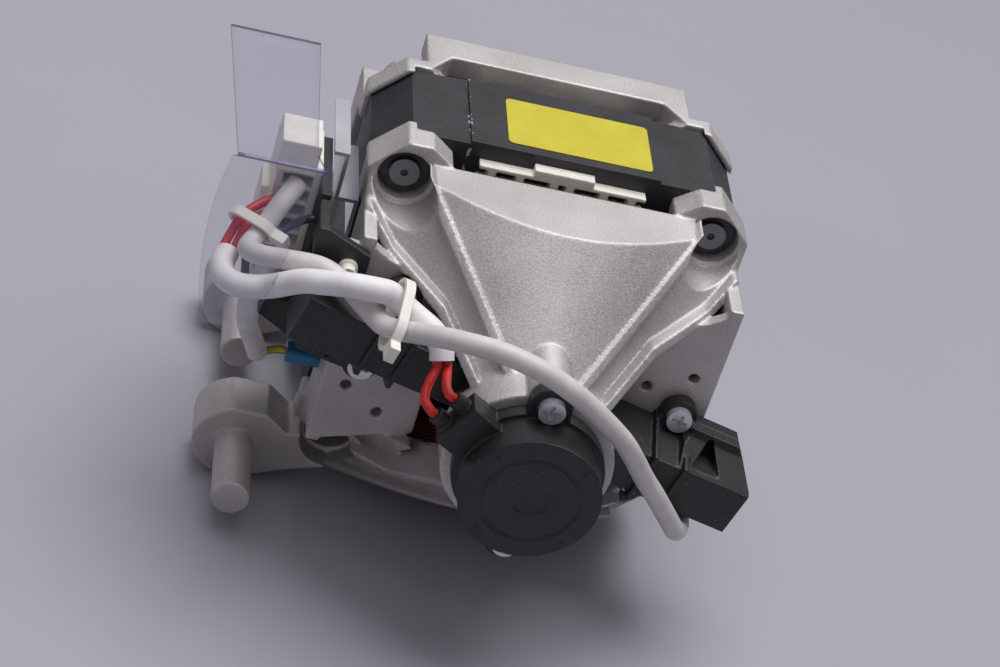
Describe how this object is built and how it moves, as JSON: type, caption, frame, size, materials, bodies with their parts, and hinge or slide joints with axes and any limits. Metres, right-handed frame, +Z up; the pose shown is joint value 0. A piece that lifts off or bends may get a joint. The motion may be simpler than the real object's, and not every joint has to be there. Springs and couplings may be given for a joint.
{
  "type": "washing machine motor",
  "caption": "Universal washing-machine motor: laminated stator, cast end shields, brush gear, tacho cap, ribbed belt pulley, wiring with connector, and side support pins.",
  "frame": {"origin": "centre of the shaft's end face beyond the pulley", "axes": "+Y along the shaft from the tacho cap to the pulley, +Z up square to the stack's top, +X to the right seen from the tacho cap"},
  "size_m": [0.1718, 0.193, 0.1225],
  "materials": {
    "lamination": "black lacquer on stacked sheet edges",
    "rotor_lamination": "ground stacked sheet",
    "copper_winding": "varnished copper wire",
    "copper": "turned copper",
    "coil_insulator": "white moulding",
    "cast_aluminium": "as cast",
    "black_bolt": "black finish",
    "bearing_steel": "ground",
    "black_moulding": "moulded",
    "resin": "moulded resin",
    "zinc_steel": "zinc plated",
    "brass_guide": "folded sheet",
    "white_plastic": "moulded",
    "clear_plastic": "clear sheet",
    "blue_sleeve": "translucent",
    "white_pvc": "matt sleeve",
    "grey_pvc": "matt sleeve",
    "red_wire": "insulation",
    "black_wire": "insulation",
    "earth_wire": "insulation",
    "nylon": "natural nylon",
    "steel_shaft": "turned",
    "magnet": "ferrite",
    "carbon": "pressed carbon",
    "spring_steel": "drawn wire"
  },
  "bodies": {
    "stator": {"stator_core": "lamination", "field_coil_upper": "copper_winding", "field_coil_lower": "copper_winding", "coil_insulator_tacho_upper": "coil_insulator", "coil_insulator_tacho_lower": "coil_insulator", "coil_insulator_drive_upper": "coil_insulator", "coil_insulator_drive_lower": "coil_insulator", "tacho_end_shield": "cast_aluminium", "drive_end_shield": "cast_aluminium", "through_bolts": "black_bolt", "tacho_bearing_outer": "bearing_steel", "drive_bearing_outer": "bearing_steel", "bearing_wave_washer": "bearing_steel", "tacho_cap": "black_moulding", "tacho_coil": "resin", "tacho_screws": "zinc_steel", "brush_holder_left": "black_moulding", "brush_holder_right": "black_moulding", "brush_guide_left": "brass_guide", "brush_guide_right": "brass_guide", "brush_holder_screws": "zinc_steel", "connector_housing": "white_plastic", "connector_contacts": "brass_guide", "connector_bracket": "black_moulding", "push_pin": "white_plastic", "drip_cover": "clear_plastic", "earth_tab": "zinc_steel", "earth_terminal": "blue_sleeve", "white_sleeve": "white_pvc", "grey_sleeve": "grey_pvc", "earth_sleeve": "grey_pvc", "tacho_leads": "red_wire", "connector_leads": "red_wire", "black_lead": "black_wire", "earth_lead": "earth_wire", "cable_tie_upper": "nylon", "cable_tie_middle": "nylon", "brush_spring_left": "spring_steel", "brush_spring_right": "spring_steel"},
    "rotor": {"shaft": "steel_shaft", "rotor_core": "rotor_lamination", "rotor_winding": "copper_winding", "commutator": "copper", "commutator_hub": "resin", "drive_pulley": "steel_shaft", "tacho_magnet": "magnet", "tacho_bearing_inner": "bearing_steel", "drive_bearing_inner": "bearing_steel"},
    "brush_left": {"brush_left": "carbon"},
    "brush_right": {"brush_right": "carbon"}
  },
  "joints": [
    {"name": "rotor_spin", "type": "hinge", "parent": "stator", "child": "rotor", "pos_m": [0, -0.1, 0], "axis": [0, 1, 0], "continuous": true},
    {"name": "brush_left_slide", "type": "slide", "parent": "stator", "child": "brush_left", "axis": [-0.9703, 0, 0.2419], "range_m": [0, 0.008], "stiffness_N_per_m": 200, "springref_m": -0.015, "deforming": ["brush_spring_left"]},
    {"name": "brush_right_slide", "type": "slide", "parent": "stator", "child": "brush_right", "axis": [0.9703, 0, -0.2419], "range_m": [0, 0.008], "stiffness_N_per_m": 200, "springref_m": -0.015, "deforming": ["brush_spring_right"]}
  ]
}
